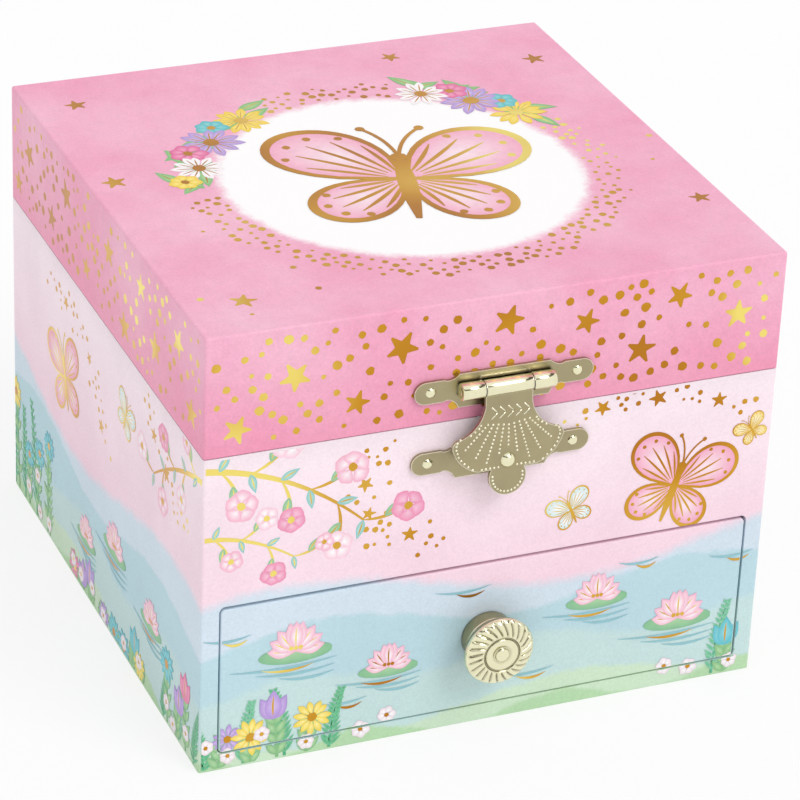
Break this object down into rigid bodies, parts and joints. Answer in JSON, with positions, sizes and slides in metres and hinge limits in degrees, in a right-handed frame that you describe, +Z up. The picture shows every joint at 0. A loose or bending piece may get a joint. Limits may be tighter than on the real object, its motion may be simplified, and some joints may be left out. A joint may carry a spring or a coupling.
{
  "type": "musical jewellery box",
  "caption": "Square paper-wrapped musical jewellery box with a hinged mirrored lid, stamped clasp, knobbed drawer, and a key-wound movement that turns a dancer.",
  "frame": {"origin": "centre of the underside, where the box rests", "axes": "+Z up, -Y out of the front with the drawer and clasp, +X to the right seen from the front"},
  "size_m": [0.11, 0.1337, 0.0874],
  "materials": {
    "wrapped_board": "printed matt paper over board",
    "lid_board": "printed matt paper over board",
    "plain_board": "pink paper over board",
    "flock": "short flock",
    "mirror": "silvered acrylic",
    "champagne_brass": "bright pale brass plate",
    "movement_brass": "plain brass",
    "movement_steel": "plain steel",
    "dancer_paint": "painted moulding",
    "stage_plastic": "pearl white moulding",
    "tulle": "stiff tulle"
  },
  "bodies": {
    "case": {"base_board": "plain_board", "left_wall": "wrapped_board", "right_wall": "wrapped_board", "back_wall": "wrapped_board", "front_frame": "wrapped_board", "shelf_board": "plain_board", "bay_divider": "plain_board", "tray_lining": "flock", "hinge_left_case_leaf": "champagne_brass", "hinge_right_case_leaf": "champagne_brass", "hinge_pins": "movement_steel", "hinge_case_nails": "champagne_brass", "clasp_case_plate": "champagne_brass", "clasp_case_nails": "champagne_brass", "movement_frame": "movement_steel", "spindle_bridge": "movement_steel", "comb_block": "movement_brass", "music_comb": "movement_steel", "movement_screws": "movement_steel", "ratchet_click": "movement_steel"},
    "lid": {"lid_top": "lid_board", "lid_front_rail": "lid_board", "lid_back_rail": "lid_board", "lid_left_rail": "lid_board", "lid_right_rail": "lid_board", "mirror_frame": "flock", "lid_mirror": "mirror", "lid_stop_block": "plain_board", "hinge_left_lid_leaf": "champagne_brass", "hinge_right_lid_leaf": "champagne_brass", "hinge_lid_nails": "champagne_brass", "clasp_lid_plate": "champagne_brass", "clasp_pin": "movement_steel", "clasp_lid_nails": "champagne_brass"},
    "hasp": {"clasp_hasp": "champagne_brass", "clasp_stud": "champagne_brass"},
    "drawer": {"drawer_front": "wrapped_board", "drawer_left_side": "plain_board", "drawer_right_side": "plain_board", "drawer_back": "plain_board", "drawer_floor": "plain_board", "drawer_lining": "flock", "drawer_knob": "champagne_brass", "knob_screw": "movement_steel"},
    "winder": {"winding_arbor": "movement_steel", "winding_key": "champagne_brass"},
    "barrel": {"great_wheel": "movement_brass", "spring_barrel": "movement_brass", "mainspring": "movement_steel"},
    "cylinder": {"pin_cylinder": "movement_brass", "cylinder_arbor": "movement_steel", "cylinder_wheel": "movement_brass"},
    "fly": {"fly_arbor": "movement_steel", "fly_fan": "movement_brass"},
    "dancer": {"spindle": "stage_plastic", "crown_wheel": "stage_plastic", "dancer_spring": "movement_steel", "dancer_figure": "dancer_paint", "dancer_tutu": "tulle"},
    "stopper": {"stop_wire": "movement_steel"}
  },
  "joints": [
    {"name": "lid_hinge", "type": "hinge", "parent": "case", "child": "lid", "pos_m": [0, 0.05725, 0.0641], "axis": [-1, 0, 0], "range_deg": [0, 100]},
    {"name": "hasp_swing", "type": "hinge", "parent": "lid", "child": "hasp", "pos_m": [0.0005, -0.0575, 0.0706], "axis": [-1, 0, 0], "range_deg": [0, 160]},
    {"name": "drawer_slide", "type": "slide", "parent": "case", "child": "drawer", "axis": [0, -1, 0], "range_m": [0, 0.05]},
    {"name": "key_wind", "type": "hinge", "parent": "case", "child": "winder", "pos_m": [-0.016, 0.03, 0.018], "axis": [0, 1, 0], "continuous": true},
    {"name": "barrel_turn", "type": "hinge", "parent": "case", "child": "barrel", "pos_m": [-0.016, 0.03, 0.018], "axis": [0, 1, 0], "continuous": true},
    {"name": "cylinder_turn", "type": "hinge", "parent": "case", "child": "cylinder", "pos_m": [0, 0.03, 0.018], "axis": [0, 1, 0], "continuous": true},
    {"name": "fly_spin", "type": "hinge", "parent": "case", "child": "fly", "pos_m": [0.00843, 0.03, 0.01093], "axis": [0, 1, 0], "continuous": true},
    {"name": "dancer_spin", "type": "hinge", "parent": "case", "child": "dancer", "pos_m": [0, 0.0346, 0.038], "axis": [0, 0, 1], "continuous": true},
    {"name": "stop_rise", "type": "slide", "parent": "case", "child": "stopper", "axis": [0, 0, 1], "range_m": [0, 0.0031]}
  ],
  "couplings": [
    {"joint": "cylinder_turn", "follows": "barrel_turn", "ratio": -3.5714},
    {"joint": "fly_spin", "follows": "barrel_turn", "ratio": 16.071},
    {"joint": "dancer_spin", "follows": "barrel_turn", "ratio": 5.3571},
    {"joint": "stop_rise", "follows": "lid_hinge", "m_per_rad": 0.0017189}
  ]
}
